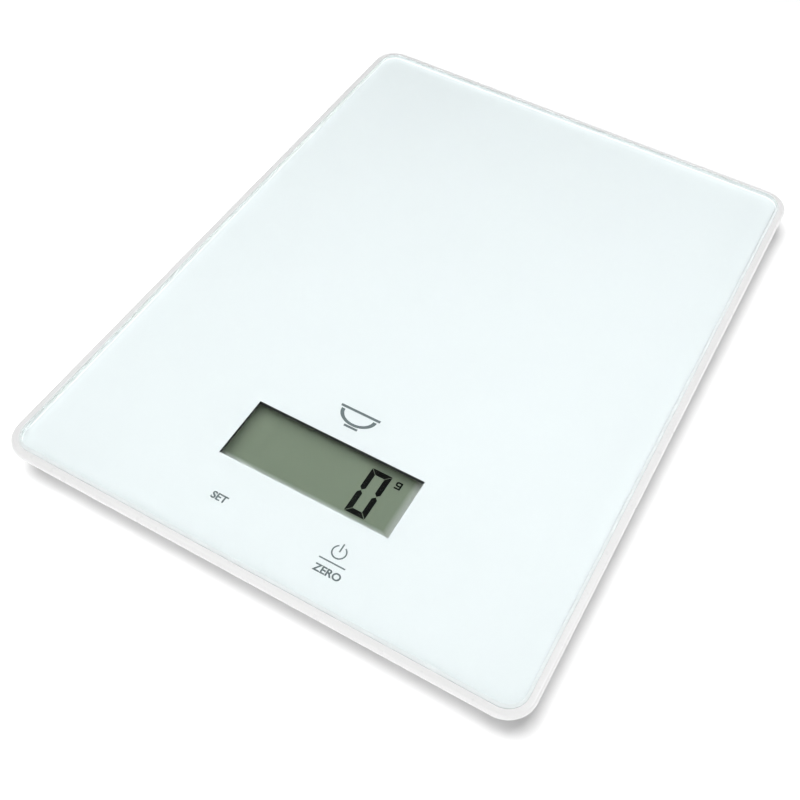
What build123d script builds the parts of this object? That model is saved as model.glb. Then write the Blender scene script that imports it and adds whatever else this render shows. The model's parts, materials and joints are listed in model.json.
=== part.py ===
from build123d import *
import os

# Flat glass-topped kitchen scale. Millimetres, +Z up, the origin on the table under
# the middle of the case. +Y points away from the user, so the display and the touch
# keys are near the -Y end, and +X is on the user's right.

# ---- Driving dimensions ----
WIDTH = 170.0  # case, left to right
LENGTH = 230.0  # case, front to back
HEIGHT = 15.0  # table to glass
CORNER_R = 9.0  # case corner seen from above

# Toughened glass platform
RIM = 2.5  # how far the case stands outside the glass
GLASS_T = 4.0
GLASS_W = WIDTH - 2 * RIM
GLASS_L = LENGTH - 2 * RIM
GLASS_R = CORNER_R - RIM
ARRIS = 0.8  # bevel ground on the glass's top edge
LOWER_ARRIS = 0.4
GLASS_LOW = HEIGHT - GLASS_T

# Printed layer and bonding tape under the glass
PRINT_GAP = 0.05  # keeps the ink's face off the glass's face
PRINT_T = 0.10
PRINT_INSET = 0.8
PRINT_TOP = GLASS_LOW - PRINT_GAP
PRINT_LOW = PRINT_TOP - PRINT_T
TAPE_T = 0.55
TAPE_LOW = PRINT_LOW - TAPE_T
TAPE_EDGE = 9.0  # width of the tape's frame
TAPE_INSET = 2.0

# Upper case
DECK_TOP = TAPE_LOW
DECK_T = 1.4
DECK_LOW = DECK_TOP - DECK_T
RIM_TOP = HEIGHT - 1.0
SHOULDER_R = 1.1
GLASS_GAP = 0.08
FLANK_TOP = HEIGHT - 2.5  # below this the sides slope in under the case
FLANK_INSET = 9.5
FLANK_WALL = 2.2  # wall thickness of the slope, measured level
CASE_LOW = 2.0  # clearance between the case and the table
KNEE_R = 0.6  # rounds the turn from rim to slope
FOOT_EDGE_R = 0.6  # rounds the slope's lower edge
DECK_RIB_T = 1.2
DECK_RIB_H = 0.8
DECK_RIB_X = (-30, 0, 30)
DECK_RIB_Y = (-8, 30, 66)

# Bottom cover
COVER_T = 1.5
COVER_TOP = CASE_LOW + COVER_T
COVER_GAP = 0.15
COVER_RIB = 0.9  # rib height above the cover's inner face
RIB_T = 1.2
LABEL_W = 61.0
LABEL_L = 29.0
LABEL_R = 1.6
LABEL_Y = 40.0
LABEL_MARGIN = 0.5  # recess round the label
LABEL_DEPTH = 0.25

# Display window and display
WINDOW_X = -0.5
WINDOW_W = 57.2
WINDOW_L = 21.8
WINDOW_Y = -72.5
LCD_TOP = 8.6
POLARISER_T = 0.15
LCD_GLASS_T = 1.05
LCD_CELL_T = 0.10
REFLECTOR_T = 0.20
LCD_W = 62.0
LCD_L = 32.0
LCD_Y = -73.5
LCD_LEDGE = 3.0  # strip of the front glass that carries the contacts
LCD_FRAME_GAP = 0.3
LCD_FRAME_WALL = 1.0
LCD_FRAME_LOW = 6.2
GASKET_SET_BACK = 0.5
GASKET_WALL = 1.4
DIGIT_X = 14.9
DIGIT_Y = -71.4
DIGIT_W = 6.8
DIGIT_L = 16.8
STROKE = 1.8
SEGMENT_GAP = 0.12
GRAM_X = 21.15
GRAM_Y = -64.2
GRAM_W = 2.0
GRAM_BOWL_L = 1.7
GRAM_BOWL_R = 0.7
GRAM_STROKE = 0.52
GRAM_DROP = 0.95  # how far the tail hangs below the bowl

# Circuit board and what is on it
PCB_W = 72.0
PCB_L = 44.0
PCB_Y = -79.0
PCB_T = 1.0
PCB_LOW = 4.6
PCB_TOP = PCB_LOW + PCB_T
PCB_SCREW_X = 33.5
PCB_SCREW_DY = 19.0
KEY_PLACES = {"mode": (-20.5, -95.0), "zero": (18.2, -95.0)}
KEY_SPRING_R = 3.6
KEY_WIRE_R = 0.3
KEY_TURNS = 4

# Battery bay in the bottom cover
BAY_Y = -30.0
CELL_R = 10.0
CELL_T = 3.2
CELL_LOW = 3.5
CELL_CAP_INSET = 1.2
DOOR_W = 27.0
DOOR_L = 28.0
DOOR_T = 1.2
DOOR_GAP = 0.25
DOOR_TOP = CASE_LOW + DOOR_T
BAY_ROOF_LOW = 7.6
BAY_ROOF_T = 0.7
CONTACT_T = 0.3
CONTACT_HALF_W = 2.8
CONTACT_REACH = 19.0  # how far each contact's tag stands out from the cell's middle
HINGE_Y = BAY_Y + DOOR_L / 2 - DOOR_T  # the door turns about the top of this edge
TAB_REACH = 2.0

# Feet and load cells
FOOT_X = 58.0
FOOT_Y = 88.0
FOOT_R = 9.0
FOOT_HOLE_R = 9.5
FOOT_FLANGE_R = 10.5
FOOT_FLANGE_TOP = COVER_TOP + 1.1
FOOT_PIN_R = 3.0  # the pin that pushes on the beam's tongue
PAD_R = 7.6
PAD_T = 1.4
PAD_PROUD = 0.6  # how far the pad stands below the foot
BEAM_SIZE = 28.0
BEAM_T = 1.0
BEAM_LOW = 5.9
BEAM_WINDOW = (22.0, 17.0)  # opening inside the beam's outer frame
TONGUE = (9.0, 13.0)
TONGUE_SHIFT = 1.0
NECK = (5.0, 8.0)
NECK_SHIFT = 7.0
HOLDER_SIZE = 32.0
GAUGE_OUT = 11.2  # from the beam's centre to the gauge, towards the middle of the case

# Fasteners
CASE_SCREWS = [(-39, -99), (39, -99), (-68.5, 0), (68.5, 0), (-39, 99), (39, 99)]
SCREW_R = 1.0
SCREW_HEAD_R = 2.1
SCREW_HEAD_T = 1.1
BOSS_R = 2.75
PILLAR_H = 1.0  # height of the cover's pillars round the case screws
PCB_SCREW_R = 0.85
PCB_SCREW_HEAD_R = 1.7
PCB_SCREW_HEAD_T = 0.8
SCREW_TIP = 8.2  # height of every screw's tip
SCREW_BITE = 0.02  # screw holes are this much wider than the thread
POST_R = 2.2  # posts that the board is screwed to

# Leads
LEAD_R = 0.45
LEAD_PITCH = 1.0
LEAD_TURN = 2.0

CORNERS = {
    "front_left": (-1, -1),
    "front_right": (1, -1),
    "back_left": (-1, 1),
    "back_right": (1, 1),
}

NODES = {}


# ---- Helpers ----
def plate(width, length, radius, low, high, x=0.0, y=0.0):
    """A plate with rounded corners between two heights."""
    outline = RectangleRounded(width, length, radius) if radius else Rectangle(width, length)
    return extrude(Pos(x, y, low) * outline, high - low)


def disc(radius, low, high, x=0.0, y=0.0):
    """An upright cylinder between two heights."""
    base = (Align.CENTER, Align.CENTER, Align.MIN)
    return Pos(x, y, low) * Cylinder(radius, high - low, align=base)


def ring(outer, inner, low, high, x=0.0, y=0.0):
    """An upright tube between two heights."""
    return disc(outer, low, high, x, y) - disc(inner, low, high, x, y)


def block(x_low, x_high, y_low, y_high, z_low, z_high):
    """A box given by its limits."""
    size = (x_high - x_low, y_high - y_low, z_high - z_low)
    return Pos(x_low, y_low, z_low) * Box(*size, align=(Align.MIN,) * 3)


def tapered(low_outline, high_outline, low, high):
    """A body with straight slopes between two rounded outlines (width, length, radius)."""
    bottom = Pos(0, 0, low) * RectangleRounded(*low_outline)
    top = Pos(0, 0, high) * RectangleRounded(*high_outline)
    return loft([bottom, top], ruled=True)


def lead(points, turn_radius):
    """A wire along straight runs with rounded turns."""
    path = FilletPolyline(*points, radius=turn_radius)
    start = Plane(origin=path @ 0, z_dir=path % 0)
    return sweep(start * Circle(LEAD_R), path=path)


def edges_at(shape, height, slack=0.01):
    """The edges of a shape that lie level at a height."""
    return [
        e for e in shape.edges()
        if abs(e.bounding_box().min.Z - height) < slack
        and abs(e.bounding_box().max.Z - height) < slack
    ]


# ---- Glass platform, print and tape ----
def glass_platform():
    slab = plate(GLASS_W, GLASS_L, GLASS_R, GLASS_LOW, HEIGHT)
    slab = chamfer(edges_at(slab, HEIGHT), ARRIS)
    return chamfer(edges_at(slab, GLASS_LOW), LOWER_ARRIS)


def backprint():
    """White ink on the glass's underside, left clear over the display."""
    width = GLASS_W - 2 * PRINT_INSET
    length = GLASS_L - 2 * PRINT_INSET
    ink = plate(width, length, GLASS_R - PRINT_INSET, PRINT_LOW, PRINT_TOP)
    return ink - plate(WINDOW_W, WINDOW_L, 0, PRINT_LOW, PRINT_TOP, WINDOW_X, WINDOW_Y)


def display_cut(low, high, spare):
    """The opening that the display's gasket passes through."""
    side = 2 * (GASKET_SET_BACK + GASKET_WALL + spare)
    return plate(WINDOW_W + side, WINDOW_L + side, 0, low, high, WINDOW_X, WINDOW_Y)


def platform_tape():
    """Foam tape: a frame with two cross bars and a panel round the display and keys."""
    width = GLASS_W - 2 * TAPE_INSET
    length = GLASS_L - 2 * TAPE_INSET
    tape = plate(width, length, GLASS_R - TAPE_INSET, TAPE_LOW, PRINT_LOW)
    half = width / 2 - TAPE_EDGE
    for low, high in ((-48.0, 20.0), (20.0 + TAPE_EDGE, length / 2 - TAPE_EDGE)):
        tape -= block(-half, half, low, high, TAPE_LOW, PRINT_LOW)
    tape -= display_cut(TAPE_LOW, PRINT_LOW, 0.3)
    for x, y in KEY_PLACES.values():
        tape -= disc(KEY_SPRING_R + 1.2, TAPE_LOW, PRINT_LOW, x, y)
    return tape


# ---- Case ----
def case_outside():
    """The case's outer form: a rounded rim over sides that slope in underneath."""
    top = (WIDTH, LENGTH, CORNER_R)
    low = (WIDTH - 2 * FLANK_INSET, LENGTH - 2 * FLANK_INSET, CORNER_R - 1)
    body = plate(*top, FLANK_TOP, RIM_TOP) + tapered(low, top, CASE_LOW, FLANK_TOP)
    body = fillet(edges_at(body, FLANK_TOP), KNEE_R)
    body = fillet(edges_at(body, RIM_TOP), SHOULDER_R)
    return fillet(edges_at(body, CASE_LOW), FOOT_EDGE_R)


def case_hollow():
    """The space inside the case under the deck, open at the bottom."""
    low_inset = FLANK_INSET + FLANK_WALL
    rise = (DECK_LOW - CASE_LOW) / (FLANK_TOP - CASE_LOW)
    high_inset = low_inset - FLANK_INSET * rise
    low = (WIDTH - 2 * low_inset, LENGTH - 2 * low_inset, CORNER_R - 2)
    high = (WIDTH - 2 * high_inset, LENGTH - 2 * high_inset, CORNER_R - 2)
    return tapered(low, high, CASE_LOW, DECK_LOW)


def deck_ribs():
    """Stiffening ribs under the deck, behind the electronics."""
    low = DECK_LOW - DECK_RIB_H
    half = DECK_RIB_T / 2
    ribs = [block(x - half, x + half, -8, 102, low, DECK_LOW) for x in DECK_RIB_X]
    ribs += [block(-76, 76, y - half, y + half, low, DECK_LOW) for y in DECK_RIB_Y]
    return ribs


def display_frame():
    """Walls under the deck that hold the display's sheets in place."""
    inner_w = LCD_W + 2 * LCD_FRAME_GAP
    inner_l = LCD_L + 2 * LCD_FRAME_GAP
    outer = plate(
        inner_w + 2 * LCD_FRAME_WALL, inner_l + 2 * LCD_FRAME_WALL, 0,
        LCD_FRAME_LOW, DECK_LOW, 0, LCD_Y)
    return outer - plate(inner_w, inner_l, 0, LCD_FRAME_LOW, DECK_LOW, 0, LCD_Y)


def upper_case():
    body = case_outside() - case_hollow()
    body -= plate(
        GLASS_W + 2 * GLASS_GAP, GLASS_L + 2 * GLASS_GAP, GLASS_R + GLASS_GAP,
        PRINT_LOW, HEIGHT)
    tape_inset = TAPE_INSET - GLASS_GAP
    body -= plate(
        GLASS_W - 2 * tape_inset, GLASS_L - 2 * tape_inset, GLASS_R - tape_inset,
        DECK_TOP, PRINT_LOW)
    body += display_frame()
    for rib in deck_ribs():
        body += rib
    for x, y in CASE_SCREWS:
        body += disc(BOSS_R, COVER_TOP + 1.2, DECK_LOW, x, y)
        body -= disc(SCREW_R + SCREW_BITE, COVER_TOP + 1.2, DECK_LOW - 0.3, x, y)
    for x in (-PCB_SCREW_X, PCB_SCREW_X):
        for y in (PCB_Y - PCB_SCREW_DY, PCB_Y + PCB_SCREW_DY):
            body += disc(POST_R, PCB_TOP, DECK_LOW, x, y)
            body -= disc(PCB_SCREW_R + SCREW_BITE, PCB_TOP, DECK_LOW - 0.3, x, y)
    body -= display_cut(DECK_LOW, DECK_TOP, 0.2)
    for x, y in KEY_PLACES.values():
        body -= disc(KEY_SPRING_R + 0.9, DECK_LOW, DECK_TOP, x, y)
    return body


def bay_walls():
    """The battery bay's box, its roof and the ring that centres the cell."""
    side = DOOR_W / 2 + 1.0
    front = BAY_Y - DOOR_L / 2 - 0.7
    back = BAY_Y + DOOR_L / 2 + TAB_REACH + 0.6
    wall = 1.4
    roof = BAY_ROOF_LOW + BAY_ROOF_T
    box = block(-side - wall, side + wall, front - wall, back + wall, COVER_TOP, roof)
    box -= block(-side, side, front, back, COVER_TOP, BAY_ROOF_LOW)
    box += ring(CELL_R + 1.35, CELL_R + 0.25, CELL_LOW + 0.2, BAY_ROOF_LOW, 0, BAY_Y)
    slot = 3.3
    slot_low = BAY_ROOF_LOW - CONTACT_T - 0.1
    box -= block(8.0, side + wall, BAY_Y - slot, BAY_Y + slot, slot_low, BAY_ROOF_LOW)
    box -= block(-side - wall, -8.0, BAY_Y - slot, BAY_Y + slot, slot_low, BAY_ROOF_LOW)
    box -= block(
        -CELL_R - 1.6, -CELL_R + 1.0, BAY_Y - slot, BAY_Y + slot,
        CELL_LOW + 0.2, BAY_ROOF_LOW)
    return box


def cover_ribs():
    high = COVER_TOP + COVER_RIB
    half = RIB_T / 2
    ribs = [block(x - half, x + half, -4, 97, COVER_TOP, high) for x in (-24, 0, 24)]
    ribs += [block(-64, 64, y - half, y + half, COVER_TOP, high) for y in (16, 48)]
    return ribs + [block(-40, 40, 80 - half, 80 + half, COVER_TOP, high)]


def bottom_cover():
    inset = FLANK_INSET + FLANK_WALL + COVER_GAP
    body = plate(
        WIDTH - 2 * inset, LENGTH - 2 * inset, CORNER_R - 2 - COVER_GAP,
        CASE_LOW, COVER_TOP)
    body = chamfer(edges_at(body, CASE_LOW), 0.3)
    body += bay_walls()
    for rib in cover_ribs():
        body += rib
    for side_x, side_y in CORNERS.values():
        body -= disc(FOOT_HOLE_R, CASE_LOW, COVER_TOP, side_x * FOOT_X, side_y * FOOT_Y)
    for x, y in CASE_SCREWS:
        body += disc(3.6, COVER_TOP, COVER_TOP + PILLAR_H, x, y)
        body -= disc(SCREW_HEAD_R + 0.2, CASE_LOW, CASE_LOW + 1.3, x, y)
        body -= disc(SCREW_R + 0.2, CASE_LOW, COVER_TOP + PILLAR_H, x, y)
    half_w = DOOR_W / 2 + DOOR_GAP
    half_l = DOOR_L / 2 + DOOR_GAP
    body -= block(-half_w, half_w, BAY_Y - half_l, BAY_Y + half_l, CASE_LOW, COVER_TOP)
    body -= plate(
        LABEL_W + 2 * LABEL_MARGIN, LABEL_L + 2 * LABEL_MARGIN, LABEL_R + LABEL_MARGIN,
        CASE_LOW, CASE_LOW + LABEL_DEPTH, 0, LABEL_Y)
    return body


def rating_plate():
    """A blank self-adhesive label in its recess under the scale."""
    return plate(
        LABEL_W, LABEL_L, LABEL_R, CASE_LOW + 0.1, CASE_LOW + LABEL_DEPTH, 0, LABEL_Y)


# ---- Display ----
def lcd_stack_levels():
    """Heights of the display's layers, from the top face down."""
    levels = [LCD_TOP]
    for thickness in (POLARISER_T, LCD_GLASS_T, LCD_CELL_T, LCD_GLASS_T, REFLECTOR_T):
        levels.append(levels[-1] - thickness)
    return levels


def lcd_sheet(layer, ledge):
    """One sheet of the display; the ledge is left off the sheets behind the contacts."""
    levels = lcd_stack_levels()
    length = LCD_L - ledge
    return plate(LCD_W, length, 0, levels[layer + 1], levels[layer], 0, LCD_Y + ledge / 2)


def level_segment(side_y):
    """The digit's top or bottom bar, with mitred ends."""
    outer_x = DIGIT_W / 2 - SEGMENT_GAP
    inner_x = outer_x - STROKE
    outer_y = side_y * DIGIT_L / 2
    inner_y = side_y * (DIGIT_L / 2 - STROKE)
    return Polygon(
        (-outer_x, outer_y), (outer_x, outer_y), (inner_x, inner_y), (-inner_x, inner_y),
        align=None)


def upright_segment(side_x, side_y):
    """A quarter of the digit's sides: mitred at the corner, pointed at mid-height."""
    outer_x = side_x * DIGIT_W / 2
    tip_x = side_x * (DIGIT_W - STROKE) / 2
    inner_x = side_x * (DIGIT_W / 2 - STROKE)
    corner_y = side_y * (DIGIT_L / 2 - SEGMENT_GAP)
    waist_y = side_y * (SEGMENT_GAP + STROKE / 2)
    return Polygon(
        (outer_x, corner_y), (outer_x, waist_y), (tip_x, side_y * SEGMENT_GAP),
        (inner_x, waist_y), (inner_x, corner_y - side_y * STROKE), align=None)


def letter_g(x, y):
    """A small single-storey g: a rounded bowl, a straight back and a level tail."""
    hole_r = GRAM_BOWL_R - GRAM_STROKE
    bowl = RectangleRounded(GRAM_W, GRAM_BOWL_L, GRAM_BOWL_R) \
        - RectangleRounded(GRAM_W - 2 * GRAM_STROKE, GRAM_BOWL_L - 2 * GRAM_STROKE, hole_r)
    back_x = (GRAM_W - GRAM_STROKE) / 2
    back_y = (GRAM_STROKE - GRAM_DROP) / 2
    back = Pos(back_x, back_y) * Rectangle(
        GRAM_STROKE, GRAM_BOWL_L + GRAM_DROP - GRAM_STROKE)
    tail_y = (GRAM_STROKE - GRAM_BOWL_L) / 2 - GRAM_DROP
    tail = Pos(0, tail_y) * Rectangle(GRAM_W, GRAM_STROKE)
    return Pos(x, y) * (bowl + back + tail)


def lcd_segments():
    """The dark electrodes of the last digit, which shows zero, and the letter g."""
    levels = lcd_stack_levels()
    low, high = levels[3] + 0.02, levels[2] - 0.02
    bars = [level_segment(side_y) for side_y in (-1, 1)]
    bars += [upright_segment(side_x, side_y) for side_x in (-1, 1) for side_y in (-1, 1)]
    bars = [Pos(DIGIT_X, DIGIT_Y) * bar for bar in bars]
    flat = bars + [letter_g(GRAM_X, GRAM_Y)]
    return Compound(children=[
        extrude(Pos(0, 0, low) * shape, high - low, dir=(0, 0, 1)).solid() for shape in flat
    ])


def lcd_gasket():
    """Dark foam frame that closes the gap between the print and the display."""
    inner_w = WINDOW_W + 2 * GASKET_SET_BACK
    inner_l = WINDOW_L + 2 * GASKET_SET_BACK
    outer = plate(
        inner_w + 2 * GASKET_WALL, inner_l + 2 * GASKET_WALL, 0,
        LCD_TOP, PRINT_LOW, WINDOW_X, WINDOW_Y)
    return outer - plate(inner_w, inner_l, 0, LCD_TOP, PRINT_LOW, WINDOW_X, WINDOW_Y)


def zebra_connector():
    """Rubber strip that joins the display's contacts to the board."""
    edge = LCD_Y - LCD_L / 2
    return block(-29, 29, edge + 0.4, edge + LCD_LEDGE - 0.4, PCB_TOP, lcd_stack_levels()[2])


# ---- Circuit board ----
def main_board():
    board = plate(PCB_W, PCB_L, 1.0, PCB_LOW, PCB_TOP, 0, PCB_Y)
    for x in (-PCB_SCREW_X, PCB_SCREW_X):
        for y in (PCB_Y - PCB_SCREW_DY, PCB_Y + PCB_SCREW_DY):
            board -= disc(PCB_SCREW_R + 0.15, PCB_LOW, PCB_TOP, x, y)
    return board


def controller_blob():
    """Epoxy dome over the bare controller chip, under the board."""
    height = 0.8
    radius = 4.5
    ball = (radius ** 2 + height ** 2) / (2 * height)
    dome = Pos(0, -72, PCB_LOW - height + ball) * Sphere(ball)
    return dome & disc(radius, PCB_LOW - height, PCB_LOW, 0, -72)


def converter_chip():
    """Small-outline converter that reads the load cells, with its eight legs a side."""
    x, y = -1.5, -95.0
    top = PCB_TOP + 1.5
    chip = plate(9.8, 3.9, 0.2, PCB_TOP + 0.2, top, x, y)
    for i in range(8):
        leg_x = x - 4.445 + 1.27 * i
        for side in (-1, 1):
            near, far = sorted((y + side * 1.8, y + side * 3.0))
            chip += block(leg_x - 0.2, leg_x + 0.2, near, far, PCB_TOP, PCB_TOP + 0.45)
    return chip


def crystal():
    """Quartz crystal in a low metal can."""
    can = plate(7.0, 3.0, 1.45, PCB_TOP, PCB_TOP + 2.2, 8.5, -93.0)
    return fillet(edges_at(can, PCB_TOP + 2.2), 0.4)


def chip_capacitors():
    """Ceramic chip capacitors and resistors in one group."""
    places = [(-12, -92), (-12, -95), (-12, -98), (6, -98), (9, -98), (12, -98), (28, -95)]
    return Compound(children=[
        plate(2.0, 1.25, 0.1, PCB_TOP, PCB_TOP + 0.8, x, y).solid() for x, y in places
    ])


def key_spring(x, y):
    """Coil spring that carries the touch signal from the board up to the print."""
    height = PRINT_LOW - PCB_TOP - 2 * KEY_WIRE_R
    path = Helix(height / KEY_TURNS, height, KEY_SPRING_R)
    path = Pos(x, y, PCB_TOP + KEY_WIRE_R) * path
    start = Plane(origin=path @ 0, z_dir=path % 0)
    return sweep(start * Circle(KEY_WIRE_R), path=path, is_frenet=True)


# ---- Power ----
def coin_cell():
    """3 V lithium coin cell, 20 mm across, with its smaller cap uppermost."""
    can = disc(CELL_R, CELL_LOW, CELL_LOW + CELL_T - 0.35, 0, BAY_Y)
    can = fillet(can.edges(), 0.3)
    cap = disc(CELL_R - CELL_CAP_INSET, CELL_LOW + 1.0, CELL_LOW + CELL_T, 0, BAY_Y)
    return can + fillet(edges_at(cap, CELL_LOW + CELL_T), 0.2)


def contact_positive():
    """Blade against the side of the cell, with a tag through the bay's wall."""
    top = BAY_ROOF_LOW
    sides = (BAY_Y - CONTACT_HALF_W, BAY_Y + CONTACT_HALF_W)
    blade = block(-CELL_R - CONTACT_T, -CELL_R, *sides, 4.4, top)
    return blade + block(-CONTACT_REACH, -CELL_R, *sides, top - CONTACT_T, top)


def contact_negative():
    """Leaf under the bay's roof with a dimple that meets the cell's cap."""
    top = BAY_ROOF_LOW
    sides = (BAY_Y - CONTACT_HALF_W, BAY_Y + CONTACT_HALF_W)
    leaf = block(-4.0, CONTACT_REACH, *sides, top - CONTACT_T, top)
    cell_top = CELL_LOW + CELL_T
    height = top - CONTACT_T - cell_top
    dimple = Pos(0, BAY_Y, cell_top + height / 2) * Cone(1.0, 2.2, height)
    return leaf + dimple


def battery_door():
    """Flush door: round hinge edge with two hooks behind, finger notch at the latch."""
    low_y = BAY_Y - DOOR_L / 2
    door = block(-DOOR_W / 2, DOOR_W / 2, low_y, HINGE_Y, CASE_LOW, DOOR_TOP)
    edge = Pos(0, HINGE_Y, DOOR_TOP) * Rot(0, 90, 0) * Cylinder(DOOR_T, DOOR_W)
    door += edge & block(-DOOR_W, DOOR_W, HINGE_Y, HINGE_Y + 5, CASE_LOW, DOOR_TOP)
    hook_low = COVER_TOP + 0.15
    hook_high = hook_low + 0.8
    for x in (-8.0, 8.0):
        door += block(
            x - 2, x + 2, HINGE_Y - 0.6, HINGE_Y + 0.7, DOOR_TOP - 0.4, hook_high)
        door += block(
            x - 2, x + 2, HINGE_Y - 0.6, HINGE_Y + DOOR_T + TAB_REACH, hook_low, hook_high)
    for x in (-7.0, 0.0, 7.0):
        door += block(x - 0.6, x + 0.6, BAY_Y - 5, BAY_Y + 5, DOOR_TOP, CELL_LOW)
    for x in (-3.2, 3.2):
        door -= block(x - 0.4, x + 0.4, low_y, low_y + 7, CASE_LOW, DOOR_TOP)
    door -= Pos(0, low_y + 3.2, CASE_LOW) * Rot(0, 90, 0) * Cylinder(0.7, 4.6)
    door += block(-2.4, 2.4, low_y - 0.15, low_y + 0.5, DOOR_TOP - 0.6, DOOR_TOP)
    return door


# ---- Feet and load cells, drawn at a corner given by its signs ----
def load_cell(side_x, side_y):
    """Flat steel bending beam: an outer frame with a tongue that the foot pushes."""
    x, y = side_x * FOOT_X, side_y * FOOT_Y
    high = BEAM_LOW + BEAM_T
    beam = plate(BEAM_SIZE, BEAM_SIZE, 3.0, BEAM_LOW, high, x, y)
    beam -= plate(*BEAM_WINDOW, 1.5, BEAM_LOW, high, x, y)
    tongue = plate(*TONGUE, 1.0, BEAM_LOW, high, x, y - side_y * TONGUE_SHIFT)
    neck = plate(*NECK, 0.5, BEAM_LOW, high, x, y + side_y * NECK_SHIFT)
    return beam + tongue + neck


def load_cell_holder(side_x, side_y):
    """Plastic frame under the deck that grips the beam's outer edge."""
    x, y = side_x * FOOT_X, side_y * FOOT_Y
    ledge = BEAM_LOW + BEAM_T
    low = BEAM_LOW - 0.4
    pocket = BEAM_SIZE + 0.3
    holder = plate(HOLDER_SIZE, HOLDER_SIZE, 4.0, low, DECK_LOW, x, y)
    holder -= plate(pocket, pocket, 3.1, low, ledge, x, y)
    holder -= plate(BEAM_SIZE - 5.0, 23.5, 2.0, ledge, DECK_LOW, x, y - side_y * 1.75)
    lip_low, lip_high = low, BEAM_LOW - 0.05
    reach = pocket / 2 + 0.5
    for side in (-1, 1):
        near, far = sorted((y + side * (reach - 1.3), y + side * reach))
        holder += block(x - 4, x + 4, near, far, lip_low, lip_high)
    gap_y = sorted((y - side_y * (GAUGE_OUT - 2.4), y - side_y * (GAUGE_OUT + 2.0)))
    gap_x = sorted((x - side_x * 11.0, x - side_x * (HOLDER_SIZE / 2 + 1)))
    holder -= block(*gap_x, *gap_y, ledge, DECK_LOW)
    return holder


def strain_gauge(side_x, side_y):
    """Foil gauge under a bead of silicone on the beam's cross bar."""
    x, y = side_x * FOOT_X, side_y * FOOT_Y
    top = BEAM_LOW + BEAM_T
    bead = plate(7.0, 3.4, 1.5, top, top + 0.8, x, y - side_y * GAUGE_OUT)
    return bead + plate(10.0, 4.0, 0.3, top, top + 0.1, x, y - side_y * GAUGE_OUT)


def foot(side_x, side_y):
    """Foot that slides in the cover and carries the scale through the beam's tongue."""
    x, y = side_x * FOOT_X, side_y * FOOT_Y
    puck = disc(FOOT_R, PAD_PROUD, COVER_TOP + 0.3, x, y)
    puck = fillet(edges_at(puck, PAD_PROUD), 0.5)
    puck += disc(FOOT_FLANGE_R, COVER_TOP + 0.3, FOOT_FLANGE_TOP, x, y)
    puck += disc(FOOT_PIN_R, FOOT_FLANGE_TOP, BEAM_LOW, x, y)
    return puck - disc(PAD_R + 0.05, PAD_PROUD, PAD_T, x, y)


def foot_pad(side_x, side_y):
    """Soft rubber disc let into the foot."""
    x, y = side_x * FOOT_X, side_y * FOOT_Y
    pad = disc(PAD_R, 0, PAD_T, x, y)
    return fillet(edges_at(pad, 0), 0.3)


# ---- Fasteners ----
def screw(x, y, under_head, radius, head_radius, head_height):
    """Pan-head self-tapping screw, head down, with a cross recess."""
    head_low = under_head - head_height
    body = disc(head_radius, head_low, under_head, x, y)
    body = fillet(edges_at(body, head_low), head_height * 0.4)
    body += disc(radius, under_head, SCREW_TIP, x, y)
    reach = head_radius * 0.62
    arm = head_radius * 0.13
    depth = head_low + head_height * 0.55
    body -= block(x - reach, x + reach, y - arm, y + arm, head_low, depth)
    body -= block(x - arm, x + arm, y - reach, y + reach, head_low, depth)
    return body


def case_screws():
    under_head = CASE_LOW + 1.3
    return Compound(children=[
        screw(x, y, under_head, SCREW_R, SCREW_HEAD_R, SCREW_HEAD_T).solid()
        for x, y in CASE_SCREWS
    ])


def board_screws():
    places = [
        (x, PCB_Y + dy)
        for x in (-PCB_SCREW_X, PCB_SCREW_X)
        for dy in (-PCB_SCREW_DY, PCB_SCREW_DY)
    ]
    return Compound(children=[
        screw(x, y, PCB_LOW, PCB_SCREW_R, PCB_SCREW_HEAD_R, PCB_SCREW_HEAD_T).solid()
        for x, y in places
    ])


# ---- Leads ----
def load_cell_leads(side_x, side_y):
    """Three wires side by side from a strain gauge to the board's edge."""
    level = BEAM_LOW + BEAM_T + 0.6
    landing = PCB_TOP + LEAD_R
    start_x = FOOT_X - 3.6
    start_y = side_y * (FOOT_Y - GAUGE_OUT)
    board_x = PCB_W / 2 - 1.8
    if side_y > 0:
        lane = 40.0
        land_y = PCB_Y + 12.0
        route = [(lane, start_y, level), (lane, land_y + 9.0, level), (board_x, land_y, landing)]
    else:
        land_y = start_y - 1.5
        route = [(41.4, start_y, level), (36.8, land_y, landing + 0.4), (board_x - 1, land_y, landing)]
    wires = []
    for i in (-1, 0, 1):
        shift_x = -i * LEAD_PITCH if side_y > 0 else 0.0
        shift_y = i * LEAD_PITCH
        points = [(side_x * start_x, start_y + shift_y, level)]
        points += [(side_x * (x + shift_x), y + shift_y, z) for x, y, z in route]
        wires.append(lead(points, LEAD_TURN).solid())
    return Compound(children=wires)


def battery_lead(side):
    """Wire from a battery contact's tag to the board's underside; positive is side -1."""
    level = BAY_ROOF_LOW - CONTACT_T - LEAD_R
    landing = PCB_LOW - LEAD_R
    board_edge = PCB_Y + PCB_L / 2
    return lead([
        (side * 18.0, BAY_Y + 1.0, level),
        (side * 18.0, BAY_Y - 12.0, level),
        (side * 22.0, BAY_Y - 22.0, landing),
        (side * 22.0, board_edge - 5.0, landing),
    ], LEAD_TURN)


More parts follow.
